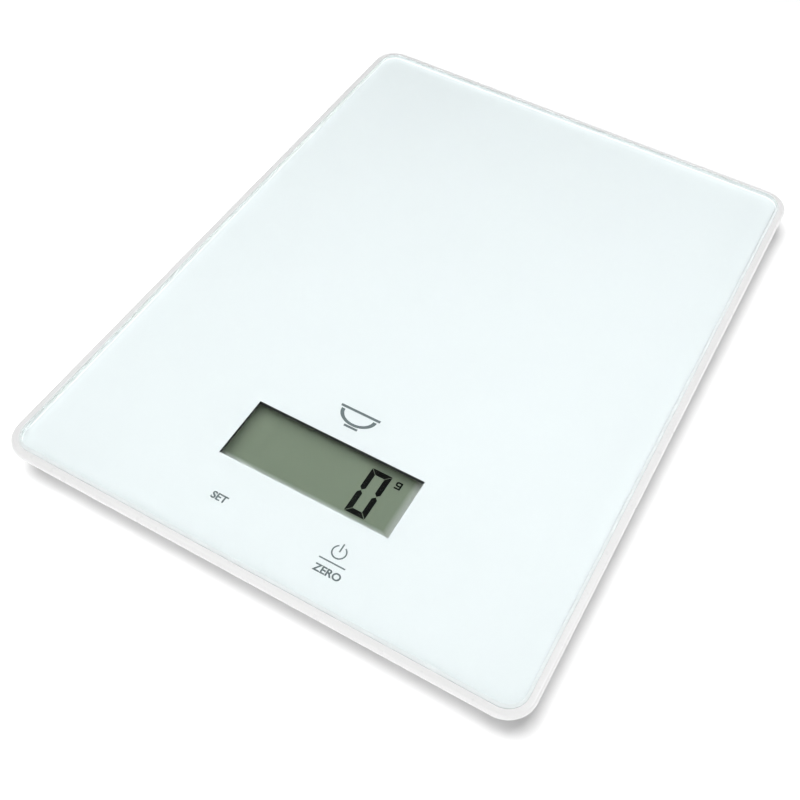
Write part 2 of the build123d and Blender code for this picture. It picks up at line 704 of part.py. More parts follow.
# ---- Build and export ----
NODES["glass_platform"] = glass_platform()
NODES["backprint"] = backprint()
NODES["platform_tape"] = platform_tape()
NODES["upper_case"] = upper_case()
NODES["bottom_cover"] = bottom_cover()
NODES["rating_plate"] = rating_plate()
NODES["lcd_polariser"] = lcd_sheet(0, 0)
NODES["lcd_front_glass"] = lcd_sheet(1, 0)
NODES["lcd_segments"] = lcd_segments()
NODES["lcd_rear_glass"] = lcd_sheet(3, LCD_LEDGE)
NODES["lcd_reflector"] = lcd_sheet(4, LCD_LEDGE)
NODES["lcd_gasket"] = lcd_gasket()
NODES["zebra_connector"] = zebra_connector()
NODES["main_board"] = main_board()
NODES["controller_blob"] = controller_blob()
NODES["converter_chip"] = converter_chip()
NODES["crystal"] = crystal()
NODES["chip_capacitors"] = chip_capacitors()
for key, (key_x, key_y) in KEY_PLACES.items():
    NODES["touch_spring_" + key] = key_spring(key_x, key_y)
NODES["coin_cell"] = coin_cell()
NODES["battery_contact_positive"] = contact_positive()
NODES["battery_contact_negative"] = contact_negative()
NODES["battery_lead_positive"] = battery_lead(-1)
NODES["battery_lead_negative"] = battery_lead(1)
NODES["battery_door"] = battery_door()
for corner, signs in CORNERS.items():
    NODES["load_cell_" + corner] = load_cell(*signs)
    NODES["load_cell_holder_" + corner] = load_cell_holder(*signs)
    NODES["strain_gauge_" + corner] = strain_gauge(*signs)
    NODES["load_cell_leads_" + corner] = load_cell_leads(*signs)
    NODES["foot_" + corner] = foot(*signs)
    NODES["foot_pad_" + corner] = foot_pad(*signs)
NODES["case_screws"] = case_screws()
NODES["board_screws"] = board_screws()

os.makedirs("parts", exist_ok=True)
for name, shape in NODES.items():
    export_step(shape, "parts/" + name + ".step")
    print(name, "solids", len(shape.solids()), "volume", round(shape.volume, 2))
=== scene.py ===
import json
import math

import bmesh
import bpy
from bpy.props import FloatProperty, FloatVectorProperty, PointerProperty
from mathutils import Euler, Matrix, Vector


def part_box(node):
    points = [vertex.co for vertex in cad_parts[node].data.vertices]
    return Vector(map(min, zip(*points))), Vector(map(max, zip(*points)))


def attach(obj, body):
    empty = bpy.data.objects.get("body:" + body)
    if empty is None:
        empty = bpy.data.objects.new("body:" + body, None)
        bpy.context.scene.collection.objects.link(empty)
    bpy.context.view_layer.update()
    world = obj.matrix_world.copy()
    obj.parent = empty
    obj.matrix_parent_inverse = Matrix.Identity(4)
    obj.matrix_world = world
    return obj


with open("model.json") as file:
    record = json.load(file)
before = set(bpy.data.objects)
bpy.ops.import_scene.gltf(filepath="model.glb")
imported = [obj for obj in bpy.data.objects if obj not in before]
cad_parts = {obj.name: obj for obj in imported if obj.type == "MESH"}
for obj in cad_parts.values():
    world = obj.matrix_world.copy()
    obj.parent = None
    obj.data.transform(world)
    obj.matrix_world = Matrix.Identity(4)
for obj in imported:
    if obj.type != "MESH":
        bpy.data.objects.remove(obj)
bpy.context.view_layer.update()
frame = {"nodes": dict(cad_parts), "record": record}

bl_info = {
    "name": "Glass kitchen scale looks",
    "version": (1, 0, 0),
    "blender": (4, 5, 0),
    "location": "View3D > Sidebar > Kitchen scale",
    "description": "Dresses a slim glass-topped kitchen scale round its packed frame",
    "category": "Object",
}

MM = 0.001
FACE_UP = Vector((0, 0, 1))

# Finishes
BRUSH_GRAIN = 0.15 * MM
GROUND_EDGE = (0.90, 0.98)  # how level the glass is where its satin edge starts and ends
SATIN_ROUGHNESS = 0.25
FROST_SHARE = 0.6
FROST_COLOUR = (0.93, 0.965, 0.965)
WINDOW_INSET = 1.9 * MM  # from the gasket's outside to the window's edge
# Painted light on the display ground: its colour is paled towards the window's right and front
# edges, standing in for light falling there
PAINTED_EDGE_LIGHT = (0.95, 0.97, 0.94)
EDGE_LIGHT_RIGHT = (3.5 * MM, 1.3 * MM)  # where the painted edge light starts and is full, in from the right edge
EDGE_LIGHT_FRONT = (3.3 * MM, 2.1 * MM)  # the same painted edge light, in from the front edge

# Legends, from the middle of a touch key's spring
SYMBOL_SHIFT = Vector((0.5, 0.75, 0)) * MM
RING_GAP_DEGREES = 60
POWER_BAR_LENGTH = 2.9 * MM
POWER_BAR_RISE = 1.5 * MM
KEY_LINE_LENGTH = 8.4 * MM
KEY_LINE_DROP = 3.85 * MM
ZERO_WORD_SHIFT = Vector((0.3, -7.0, 0)) * MM
SET_WORD_SHIFT = Vector((0.6, -1.4, 0)) * MM
LETTER_WEIGHT = 0.028

# Bowl outline, from the middle of the display's back edge
BOWL_RISE = 9.0 * MM
BOWL_RADIUS = 4.4 * MM
BOWL_WALL = 1.0 * MM
BOWL_STRETCH = (1.25, 0.95, 1)
BOWL_RIM = (13.6 * MM, 0.9 * MM)
BOWL_RIM_RISE = 0.95 * MM
BOWL_FOOT = (4.6 * MM, 0.8 * MM)
BOWL_FOOT_DROP = 5.3 * MM

# Stage, in metres and watts
FLOOR_HALF = 3.0
TABLE_LAMP = ("table_softbox", (-0.1, -0.2, 1.1), (0.6, 0.6), 15.0)  # lights the floor only
SCALE_LAMPS = (
    ("left_softbox", (-0.2, -0.06, 0.52), (0.22, 0.22), 0.74),
    ("right_softbox", (0.24, 0.15, 0.52), (0.2, 0.2), 1.1),
    ("front_softbox", (0.1, -0.6, 0.6), (0.7, 0.4), 1.85),
    ("side_softbox", (0.62, -0.1, 0.6), (0.4, 0.6), 0.4),
)
WALL_STRENGTH = 0.85
CEILING_STRENGTH = 0.07
WALL_TOP = (0.30, 0.52)  # where the pale wall starts and ends its fade, as a sine
CAMERA_PLACE = Vector((96.18, -223.44, 279.36)) * MM
CAMERA_TURN = (37.42, -2.64, 29.22)  # degrees
CAMERA_LENS = 49.15


# ---- Sizes and colours that a user would change ----
class ScaleSizes(bpy.types.PropertyGroup):
    legend_thickness: FloatProperty(
        name="Legend thickness", description="Thickness of the printed legends",
        default=0.02 * MM, unit="LENGTH")
    legend_gap: FloatProperty(
        name="Legend gap", description="Clearance between the white ink and a legend",
        default=0.006 * MM, unit="LENGTH")
    legend_height: FloatProperty(
        name="Letter height", description="Cap height of the words beside the keys",
        default=2.5 * MM, unit="LENGTH")
    ring_radius: FloatProperty(
        name="Power ring radius", description="Middle of the power symbol's ring",
        default=2.1 * MM, unit="LENGTH")
    line_width: FloatProperty(
        name="Line width", description="Width of the printed lines",
        default=0.45 * MM, unit="LENGTH")


class ScaleColours(bpy.types.PropertyGroup):
    glass: FloatVectorProperty(
        name="Glass", description="Tint of the clear glass",
        default=(0.955, 0.985, 0.985), subtype="COLOR", min=0, max=1)
    ink: FloatVectorProperty(
        name="White ink", description="The ink fired on under the glass",
        default=(0.726, 0.728, 0.736), subtype="COLOR", min=0, max=1)
    legend: FloatVectorProperty(
        name="Legends", description="Grey ink of the legends",
        default=(0.11, 0.132, 0.137), subtype="COLOR", min=0, max=1)
    case: FloatVectorProperty(
        name="Case", description="Glossy white moulding",
        default=(0.95, 0.95, 0.95), subtype="COLOR", min=0, max=1)
    display: FloatVectorProperty(
        name="Display", description="Grey-green ground behind the digits",
        default=(0.39, 0.444, 0.335), subtype="COLOR", min=0, max=1)
    floor: FloatVectorProperty(
        name="Floor", description="Pale studio floor",
        default=(0.93, 0.93, 0.93), subtype="COLOR", min=0, max=1)


def sizes():
    return bpy.context.scene.scale_sizes


def colours():
    return bpy.context.scene.scale_colours


# ---- Building blocks for materials ----
def new_finish(name, colour, roughness, **sockets):
    """A material with one Principled shader, and its node tree."""
    material = bpy.data.materials.new(name)
    material.use_nodes = True
    tree = material.node_tree
    shader = tree.nodes["Principled BSDF"]
    shader.inputs["Base Color"].default_value = (*colour, 1)
    shader.inputs["Roughness"].default_value = roughness
    for socket, value in sockets.items():
        shader.inputs[socket.replace("_", " ")].default_value = value
    return material, tree, shader


def add_node(tree, kind, **settings):
    node = tree.nodes.new(kind)
    for name, value in settings.items():
        setattr(node, name, value)
    return node


def object_place(tree, stretch=(1, 1, 1)):
    """Object coordinates in metres, stretched along the axes."""
    source = add_node(tree, "ShaderNodeTexCoord")
    mapping = add_node(tree, "ShaderNodeMapping")
    mapping.inputs["Scale"].default_value = stretch
    tree.links.new(source.outputs["Object"], mapping.inputs["Vector"])
    return mapping.outputs["Vector"]


def noise(tree, grain, detail=3.0, place=None, roughness=0.5):
    """Noise whose blobs are about a grain long, in metres."""
    node = add_node(tree, "ShaderNodeTexNoise")
    node.inputs["Scale"].default_value = 1 / grain
    node.inputs["Detail"].default_value = detail
    node.inputs["Roughness"].default_value = roughness
    tree.links.new(place or object_place(tree), node.inputs["Vector"])
    return node.outputs["Fac"]


def cells(tree, grain):
    """Cell pattern for foam, rubber and cast grain."""
    node = add_node(tree, "ShaderNodeTexVoronoi")
    node.inputs["Scale"].default_value = 1 / grain
    tree.links.new(object_place(tree), node.inputs["Vector"])
    return node.outputs["Distance"]


def spread(tree, pattern, low, high, from_low=0.3, from_high=0.7):
    """Maps a pattern's middle range to the range low to high."""
    node = add_node(tree, "ShaderNodeMapRange")
    node.inputs["From Min"].default_value = from_low
    node.inputs["From Max"].default_value = from_high
    node.inputs["To Min"].default_value = low
    node.inputs["To Max"].default_value = high
    tree.links.new(pattern, node.inputs["Value"])
    return node.outputs["Result"]


def tint_by(tree, shader, pattern, dark, light, from_low=0.3, from_high=0.7):
    """Colours a shader between two colours along a pattern."""
    node = add_node(tree, "ShaderNodeValToRGB")
    node.color_ramp.elements[0].position = from_low
    node.color_ramp.elements[0].color = (*dark, 1)
    node.color_ramp.elements[1].position = from_high
    node.color_ramp.elements[1].color = (*light, 1)
    tree.links.new(pattern, node.inputs["Fac"])
    tree.links.new(node.outputs["Color"], shader.inputs["Base Color"])


def shade_colour(colour, factor):
    return tuple(min(1.0, c * factor) for c in colour)


def roughen_by(tree, shader, pattern, low, high):
    tree.links.new(spread(tree, pattern, low, high), shader.inputs["Roughness"])


def bump_by(tree, shader, pattern, depth, strength=1.0, below=None):
    """Raises the surface by a pattern, depth in metres."""
    node = add_node(tree, "ShaderNodeBump")
    node.inputs["Strength"].default_value = strength
    node.inputs["Distance"].default_value = depth
    tree.links.new(pattern, node.inputs["Height"])
    if below is not None:
        tree.links.new(below, node.inputs["Normal"])
    tree.links.new(node.outputs["Normal"], shader.inputs["Normal"])
    return node.outputs["Normal"]


def slotted_nodes(slot):
    """The CAD nodes that the record gives a material slot."""
    return [
        frame["nodes"][part["node"]]
        for part in frame["record"]["subparts"] if part["material_slot"] == slot
    ]


def dress(slot, material):
    for node in slotted_nodes(slot):
        node.data.materials.clear()
        node.data.materials.append(material)


# ---- Finishes: glass, ink and case ----
def clear_glass():
    """Toughened glass; its ground edges are satin, and lamps shine through it."""
    material, tree, shader = new_finish(
        "clear_glass", colours().glass, 0.0, IOR=1.5, Transmission_Weight=1.0)
    coordinates = add_node(tree, "ShaderNodeTexCoord")
    split = add_node(tree, "ShaderNodeSeparateXYZ")
    tree.links.new(coordinates.outputs["Normal"], split.inputs["Vector"])
    level = add_node(tree, "ShaderNodeMath", operation="ABSOLUTE")
    tree.links.new(split.outputs["Z"], level.inputs[0])
    ground = spread(tree, level.outputs["Value"], SATIN_ROUGHNESS, 0.0, *GROUND_EDGE)
    tree.links.new(ground, shader.inputs["Roughness"])
    frosting = spread(tree, level.outputs["Value"], FROST_SHARE, 0.0, *GROUND_EDGE)
    frost = add_node(tree, "ShaderNodeBsdfDiffuse")
    frost.inputs["Color"].default_value = (*FROST_COLOUR, 1)
    ground_mix = add_node(tree, "ShaderNodeMixShader")
    tree.links.new(frosting, ground_mix.inputs["Fac"])
    tree.links.new(shader.outputs["BSDF"], ground_mix.inputs[1])
    tree.links.new(frost.outputs["BSDF"], ground_mix.inputs[2])
    lamp_path = add_node(tree, "ShaderNodeLightPath")
    open_way = add_node(tree, "ShaderNodeBsdfTransparent")
    open_way.inputs["Color"].default_value = (*colours().glass, 1)
    mix = add_node(tree, "ShaderNodeMixShader")
    tree.links.new(lamp_path.outputs["Is Shadow Ray"], mix.inputs["Fac"])
    tree.links.new(ground_mix.outputs["Shader"], mix.inputs[1])
    tree.links.new(open_way.outputs["BSDF"], mix.inputs[2])
    tree.links.new(mix.outputs["Shader"], tree.nodes["Material Output"].inputs["Surface"])
    return material


def white_ink():
    """Even white ink with the faint mottle of a screen print."""
    material, tree, shader = new_finish(
        "white_ink", colours().ink, 0.55, Specular_IOR_Level=0.2)
    mottle = noise(tree, 6 * MM, 4)
    tint_by(tree, shader, mottle, shade_colour(colours().ink, 0.992), colours().ink)
    bump_by(tree, shader, noise(tree, 0.25 * MM, 2), 0.004 * MM, 0.5)
    return material


def legend_ink():
    material, tree, shader = new_finish("legend_ink", colours().legend, 0.5)
    mottle = noise(tree, 0.4 * MM, 3)
    tint_by(tree, shader, mottle, shade_colour(colours().legend, 0.92),
            shade_colour(colours().legend, 1.06))
    return material


def case_white():
    """Glossy ABS: a faint orange peel and slight changes of gloss."""
    material, tree, shader = new_finish("case_white", colours().case, 0.3, IOR=1.52)
    tint_by(tree, shader, noise(tree, 18 * MM, 2), shade_colour(colours().case, 0.985),
            colours().case)
    roughen_by(tree, shader, noise(tree, 3 * MM, 4), 0.27, 0.31)
    peel = bump_by(tree, shader, noise(tree, 2.4 * MM, 1), 0.004 * MM, 0.25)
    bump_by(tree, shader, noise(tree, 0.12 * MM, 2), 0.001 * MM, 0.3, peel)
    return material


def cover_white():
    """Satin ABS with the fine grain of a spark-eroded mould."""
    base = shade_colour(colours().case, 0.96)
    material, tree, shader = new_finish("cover_white", base, 0.55, IOR=1.5)
    tint_by(tree, shader, noise(tree, 0.5 * MM, 4), shade_colour(base, 0.96), base)
    roughen_by(tree, shader, noise(tree, 2.5 * MM, 4), 0.48, 0.62)
    bump_by(tree, shader, noise(tree, 0.22 * MM, 3, roughness=0.7), 0.03 * MM, 0.8)
    return material


def foam_tape():
    material, tree, shader = new_finish("foam_tape", (0.8, 0.8, 0.77), 0.9)
    pores = cells(tree, 0.3 * MM)
    tint_by(tree, shader, pores, (0.66, 0.66, 0.63), (0.84, 0.84, 0.81), 0.1, 0.6)
    bump_by(tree, shader, pores, 0.05 * MM)
    return material


def label_silver():
    """Blank metallised label, brushed along its length."""
    material, tree, shader = new_finish("label_silver", (0.66, 0.67, 0.68), 0.35, Metallic=0.75)
    brush = noise(tree, 0.2 * MM, 3, object_place(tree, (0.02, 1, 1)))
    tint_by(tree, shader, brush, (0.60, 0.61, 0.62), (0.72, 0.73, 0.74))
    roughen_by(tree, shader, brush, 0.28, 0.45)
    bump_by(tree, shader, brush, 0.004 * MM)
    return material


# ---- Finishes: display ----
def pane(name, tint, gloss_ior, roughness):
    """A thin clear layer: it tints what lies behind it and mirrors a little."""
    material, tree, shader = new_finish(name, tint, roughness)
    tree.nodes.remove(shader)
    through = add_node(tree, "ShaderNodeBsdfTransparent")
    through.inputs["Color"].default_value = (*tint, 1)
    mirror = add_node(tree, "ShaderNodeBsdfGlossy")
    mirror.inputs["Roughness"].default_value = roughness
    edge = add_node(tree, "ShaderNodeFresnel")
    edge.inputs["IOR"].default_value = gloss_ior
    mix = add_node(tree, "ShaderNodeMixShader")
    tree.links.new(edge.outputs["Fac"], mix.inputs["Fac"])
    tree.links.new(through.outputs["BSDF"], mix.inputs[1])
    tree.links.new(mirror.outputs["BSDF"], mix.inputs[2])
    tree.links.new(mix.outputs["Shader"], tree.nodes["Material Output"].inputs["Surface"])
    return material


def lcd_ink():
    material, tree, shader = new_finish(
        "lcd_ink", (0.003, 0.004, 0.003), 0.7, Specular_IOR_Level=0.05)
    tint_by(tree, shader, noise(tree, 0.3 * MM), (0.002, 0.003, 0.002), (0.004, 0.005, 0.004))
    return material


def lcd_reflector():
    """Satin grey-green film, with painted light: paled towards the window's right and front
    edges, where light falls on them.
    """
    base = colours().display
    material, tree, shader = new_finish("lcd_reflector", base, 0.6)
    sparkle = noise(tree, 0.12 * MM, 2)
    tint_by(tree, shader, sparkle, shade_colour(base, 0.95), shade_colour(base, 1.05))
    bump_by(tree, shader, sparkle, 0.004 * MM)
    window_low, window_high = display_window()
    split = add_node(tree, "ShaderNodeSeparateXYZ")
    tree.links.new(object_place(tree), split.inputs["Vector"])
    # Painted light: masks that pale the ground towards the window's right and front edges
    right = spread(
        tree, split.outputs["X"], 0.0, 1.0, *(window_high.x - inset for inset in EDGE_LIGHT_RIGHT))
    front = spread(
        tree, split.outputs["Y"], 0.0, 0.9, *(window_low.y + inset for inset in EDGE_LIGHT_FRONT))
    edge = add_node(tree, "ShaderNodeMath", operation="MAXIMUM")
    tree.links.new(right, edge.inputs[0])
    tree.links.new(front, edge.inputs[1])
    pale = add_node(tree, "ShaderNodeMix", data_type="RGBA")
    pale.inputs["B"].default_value = (*PAINTED_EDGE_LIGHT, 1)
    ground = shader.inputs["Base Color"].links[0].from_socket
    tree.links.new(edge.outputs["Value"], pale.inputs["Factor"])
    tree.links.new(ground, pale.inputs["A"])
    tree.links.new(pale.outputs["Result"], shader.inputs["Base Color"])
    return material


def display_window():
    """The clear window in the white ink, which the gasket stands just outside."""
    low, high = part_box("lcd_gasket")
    wall = Vector((WINDOW_INSET, WINDOW_INSET, 0))
    return low + wall, high - wall


# Black foam light seal: its near-black colour is partly the foam's own and partly painted
# shade, standing in for the shade inside the window's left and back walls
def gasket_foam():
    material, tree, shader = new_finish("gasket_foam", (0.02, 0.022, 0.02), 0.9)
    pores = cells(tree, 0.25 * MM)
    tint_by(tree, shader, pores, (0.008, 0.009, 0.008), (0.03, 0.032, 0.03), 0.1, 0.6)
    bump_by(tree, shader, pores, 0.05 * MM)
    return material


def zebra_rubber():
    """Silicone with thin dark conducting layers across its length."""
    material, tree, shader = new_finish("zebra_rubber", (0.55, 0.40, 0.42), 0.6)
    wave = add_node(tree, "ShaderNodeTexWave", wave_type="BANDS", bands_direction="X")
    wave.inputs["Scale"].default_value = 1 / (1.2 * MM)
    tree.links.new(object_place(tree), wave.inputs["Vector"])
    tint_by(tree, shader, wave.outputs["Fac"], (0.02, 0.02, 0.02), (0.62, 0.42, 0.45), 0.4, 0.6)
    return material


# ---- Finishes: electronics and metal ----
def board_laminate():
    """Green solder mask over tracks and the weave of the glass cloth."""
    material, tree, shader = new_finish("board_laminate", (0.02, 0.16, 0.06), 0.35, IOR=1.5)
    tracks = add_node(tree, "ShaderNodeTexBrick")
    tracks.inputs["Scale"].default_value = 1 / (4 * MM)
    tracks.inputs["Mortar Size"].default_value = 0.06
    tracks.inputs["Color1"].default_value = (0.010, 0.12, 0.045, 1)
    tracks.inputs["Color2"].default_value = (0.012, 0.13, 0.05, 1)
    tracks.inputs["Mortar"].default_value = (0.03, 0.24, 0.09, 1)
    tree.links.new(object_place(tree), tracks.inputs["Vector"])
    tree.links.new(tracks.outputs["Color"], shader.inputs["Base Color"])
    bump_by(tree, shader, tracks.outputs["Fac"], -0.02 * MM)
    return material


def moulded(name, colour, roughness, grain, depth, contrast=0.06):
    """Any dull moulded or dipped material with its own grain."""
    material, tree, shader = new_finish(name, colour, roughness)
    pattern = noise(tree, grain, 3)
    tint_by(tree, shader, pattern, shade_colour(colour, 1 - contrast),
            shade_colour(colour, 1 + contrast))
    roughen_by(tree, shader, pattern, roughness - 0.06, roughness + 0.06)
    bump_by(tree, shader, pattern, depth)
    return material


def brushed_metal(name, colour, roughness, stretch):
    """Bright or plated metal with fine lines left by rolling or drawing."""
    material, tree, shader = new_finish(name, colour, roughness, Metallic=1.0)
    lines = noise(tree, BRUSH_GRAIN, 4, object_place(tree, stretch))
    tint_by(tree, shader, lines, shade_colour(colour, 0.88), shade_colour(colour, 1.06))
    roughen_by(tree, shader, lines, max(0.05, roughness - 0.08), roughness + 0.1)
    bump_by(tree, shader, lines, 0.004 * MM)
    return material


def pad_rubber():
    """Soft grey rubber with a speckle and a dull bloom."""
    material, tree, shader = new_finish("pad_rubber", (0.32, 0.325, 0.33), 0.8)
    speckle = cells(tree, 0.5 * MM)
    tint_by(tree, shader, speckle, (0.26, 0.265, 0.27), (0.36, 0.365, 0.37), 0.1, 0.7)
    roughen_by(tree, shader, noise(tree, 3 * MM), 0.7, 0.9)
    bump_by(tree, shader, noise(tree, 0.2 * MM, 3), 0.03 * MM)
    return material


PLAIN_FINISHES = {
    "chip_epoxy": lambda: moulded("chip_epoxy", (0.02, 0.02, 0.02), 0.5, 0.2 * MM, 0.01 * MM),
    "ceramic_chips": lambda: moulded(
        "ceramic_chips", (0.40, 0.27, 0.16), 0.45, 0.15 * MM, 0.005 * MM),
    "lead_red": lambda: moulded("lead_red", (0.48, 0.02, 0.02), 0.42, 0.6 * MM, 0.01 * MM),
    "lead_black": lambda: moulded("lead_black", (0.02, 0.02, 0.02), 0.42, 0.6 * MM, 0.01 * MM),
    "lead_white": lambda: moulded(
        "lead_white", (0.74, 0.74, 0.71), 0.42, 0.6 * MM, 0.01 * MM, 0.03),
    "holder_plastic": lambda: moulded(
        "holder_plastic", (0.70, 0.70, 0.67), 0.5, 0.5 * MM, 0.01 * MM, 0.03),
    "silicone_bead": lambda: moulded(
        "silicone_bead", (0.82, 0.82, 0.80), 0.35, 1.2 * MM, 0.05 * MM, 0.02),
    "foot_plastic": lambda: moulded(
        "foot_plastic", (0.66, 0.66, 0.66), 0.5, 0.25 * MM, 0.02 * MM, 0.04),
    "plated_steel": lambda: brushed_metal("plated_steel", (0.66, 0.66, 0.65), 0.3, (1, 0.1, 1)),
    "spring_wire": lambda: brushed_metal("spring_wire", (0.70, 0.69, 0.66), 0.2, (1, 1, 0.2)),
    "cell_steel": lambda: brushed_metal("cell_steel", (0.70, 0.70, 0.68), 0.28, (0.1, 1, 1)),
    "contact_plating": lambda: brushed_metal(
        "contact_plating", (0.75, 0.73, 0.66), 0.22, (0.1, 1, 1)),
    "beam_steel": lambda: brushed_metal("beam_steel", (0.52, 0.53, 0.54), 0.35, (1, 0.06, 1)),
    "screw_zinc": lambda: brushed_metal("screw_zinc", (0.62, 0.63, 0.64), 0.3, (1, 1, 1)),
}


# ---- Building blocks for new pieces ----
def keep_piece(mesh, name, body, material):
    """Makes a finished mesh a piece that rides on a body."""
    piece = bpy.data.objects.new(name, mesh)
    bpy.context.scene.collection.objects.link(piece)
    mesh.materials.clear()
    mesh.materials.append(material)
    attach(piece, body)
    return piece


def mesh_from(shape, name):
    """A mesh from a bmesh with its doubles merged and its faces outwards."""
    bmesh.ops.remove_doubles(shape, verts=shape.verts, dist=1e-7)
    bmesh.ops.recalc_face_normals(shape, faces=shape.faces)
    mesh = bpy.data.meshes.new(name)
    shape.to_mesh(mesh)
    shape.free()
    return mesh


def word_mesh(text, height, bold):
    """A word as a flat mesh, its middle at the origin."""
    curve = bpy.data.curves.new("word", "FONT")
    curve.body = text
    curve.align_x = "CENTER"
    curve.align_y = "CENTER"
    curve.offset = bold
    curve.resolution_u = 6
    holder = bpy.data.objects.new("word", curve)
    bpy.context.scene.collection.objects.link(holder)
    bpy.context.view_layer.update()
    mesh = bpy.data.meshes.new_from_object(holder)
    bpy.data.objects.remove(holder)
    bpy.data.curves.remove(curve)
    tall = [v.co.y for v in mesh.vertices]
    wide = [v.co.x for v in mesh.vertices]
    middle = Vector(((max(wide) + min(wide)) / 2, (max(tall) + min(tall)) / 2, 0))
    size = height / (max(tall) - min(tall))
    mesh.transform(Matrix.Scale(size, 4) @ Matrix.Translation(-middle))
    return mesh


def raised(shape, thickness):
    """Gives a flat shape its thickness, upwards."""
    made = bmesh.ops.extrude_face_region(shape, geom=shape.faces[:])
    moved = [g for g in made["geom"] if isinstance(g, bmesh.types.BMVert)]
    bmesh.ops.translate(shape, verts=moved, vec=FACE_UP * thickness)


def legend_level():
    """The height where a legend's underside lies, just over the white ink."""
    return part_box("backprint")[1].z + sizes().legend_gap


def print_legend(shape, name, x, y):
    """Finishes a flat legend at a place on the glass's underside."""
    raised(shape, sizes().legend_thickness)
    bmesh.ops.translate(shape, verts=shape.verts, vec=(x, y, legend_level()))
    return keep_piece(mesh_from(shape, name), name, "case", legend_material())


def legend_material():
    return bpy.data.materials.get("legend_ink") or legend_ink()


def key_places():
    """Middles of the two touch springs, which the legends stand over."""
    places = {}
    for key in ("mode", "zero"):
        low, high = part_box("touch_spring_" + key)
        places[key] = (low + high) / 2
    return places


def flat_bar(width, length):
    """A flat rectangle on the origin."""
    shape = bmesh.new()
    bmesh.ops.create_grid(shape, x_segments=1, y_segments=1, size=0.5)
    bmesh.ops.scale(shape, verts=shape.verts, vec=(width, length, 1))
    return shape


def open_ring(radius, width, gap_degrees, steps=40):
    """A flat ring, open at the top by a gap."""
    shape = bmesh.new()
    ends = [shape.verts.new((radius + s * width / 2, 0, 0)) for s in (-1, 1)]
    line = shape.edges.new(ends)
    start = math.radians(90 + gap_degrees / 2)
    bmesh.ops.rotate(shape, verts=ends, matrix=Matrix.Rotation(start, 3, "Z"))
    bmesh.ops.spin(
        shape, geom=[line, *ends], axis=FACE_UP, cent=(0, 0, 0),
        angle=math.radians(360 - gap_degrees), steps=steps)
    return shape


# ---- Operators ----
class SCALE_OT_dress_platform(bpy.types.Operator):
    """Glass platform, the white ink under it and the tape that bonds it"""
    bl_idname = "scale.dress_platform"
    bl_label = "Dress the glass platform"

    def execute(self, context):
        dress("clear_glass", clear_glass())
        dress("white_ink", white_ink())
        dress("foam_tape", foam_tape())
        return {"FINISHED"}


class SCALE_OT_dress_case(bpy.types.Operator):
    """Upper case, bottom cover, battery door and the blank label"""
    bl_idname = "scale.dress_case"
    bl_label = "Dress the case"

    def execute(self, context):
        dress("case_white", case_white())
        dress("cover_white", cover_white())
        dress("label_silver", label_silver())
        dress("pad_rubber", pad_rubber())
        return {"FINISHED"}


class SCALE_OT_dress_display(bpy.types.Operator):
    """Display layers, their gasket and the connector strip"""
    bl_idname = "scale.dress_display"
    bl_label = "Dress the display"

    def execute(self, context):
        dress("lcd_film", pane("lcd_film", (0.95, 0.96, 0.94), 1.12, 0.08))
        dress("lcd_glass", pane("lcd_glass", (0.985, 0.99, 0.985), 1.02, 0.02))
        dress("lcd_ink", lcd_ink())
        ground = lcd_reflector()
        dress("lcd_reflector", ground)
        rear_glass = frame["nodes"]["lcd_rear_glass"]
        rear_glass.data.materials.clear()
        rear_glass.data.materials.append(ground)
        dress("gasket_foam", gasket_foam())
        dress("zebra_rubber", zebra_rubber())
        return {"FINISHED"}


class SCALE_OT_dress_inside(bpy.types.Operator):
    """Circuit board, load cells, feet, leads, battery and fasteners"""
    bl_idname = "scale.dress_inside"
    bl_label = "Dress the works"

    def execute(self, context):
        dress("board_laminate", board_laminate())
        for slot, finish in PLAIN_FINISHES.items():
            dress(slot, finish())
        return {"FINISHED"}


class SCALE_OT_print_legends(bpy.types.Operator):
    """Grey legends by the touch keys: a power symbol, a line and two plain words"""
    bl_idname = "scale.print_legends"
    bl_label = "Print the legends"

    def execute(self, context):
        size = sizes()
        places = key_places()
        symbol = places["zero"] + SYMBOL_SHIFT
        ring = open_ring(size.ring_radius, size.line_width, RING_GAP_DEGREES)
        print_legend(ring, "power_ring", symbol.x, symbol.y)
        bar = flat_bar(size.line_width, POWER_BAR_LENGTH)
        print_legend(bar, "power_bar", symbol.x, symbol.y + POWER_BAR_RISE)
        line = flat_bar(KEY_LINE_LENGTH, size.line_width)
        print_legend(line, "key_line", symbol.x, symbol.y - KEY_LINE_DROP)
        for text, name, place in (
                ("ZERO", "zero_word", symbol + ZERO_WORD_SHIFT),
                ("SET", "set_word", places["mode"] + SET_WORD_SHIFT)):
            shape = bmesh.new()
            shape.from_mesh(word_mesh(text, size.legend_height, LETTER_WEIGHT))
            print_legend(shape, name, place.x, place.y)
        return {"FINISHED"}


class SCALE_OT_print_bowl(bpy.types.Operator):
    """Plain outline of a bowl behind the display: wall, rim and foot"""
    bl_idname = "scale.print_bowl"
    bl_label = "Print the bowl outline"

    def execute(self, context):
        low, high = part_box("lcd_gasket")
        x = (low.x + high.x) / 2
        y = high.y + BOWL_RISE
        bowl = open_ring(BOWL_RADIUS, BOWL_WALL, 180)
        bmesh.ops.scale(bowl, verts=bowl.verts, vec=BOWL_STRETCH)
        print_legend(bowl, "bowl_mark", x, y)
        print_legend(flat_bar(*BOWL_RIM), "bowl_rim", x, y + BOWL_RIM_RISE)
        print_legend(flat_bar(*BOWL_FOOT), "bowl_foot", x, y - BOWL_FOOT_DROP)
        return {"FINISHED"}


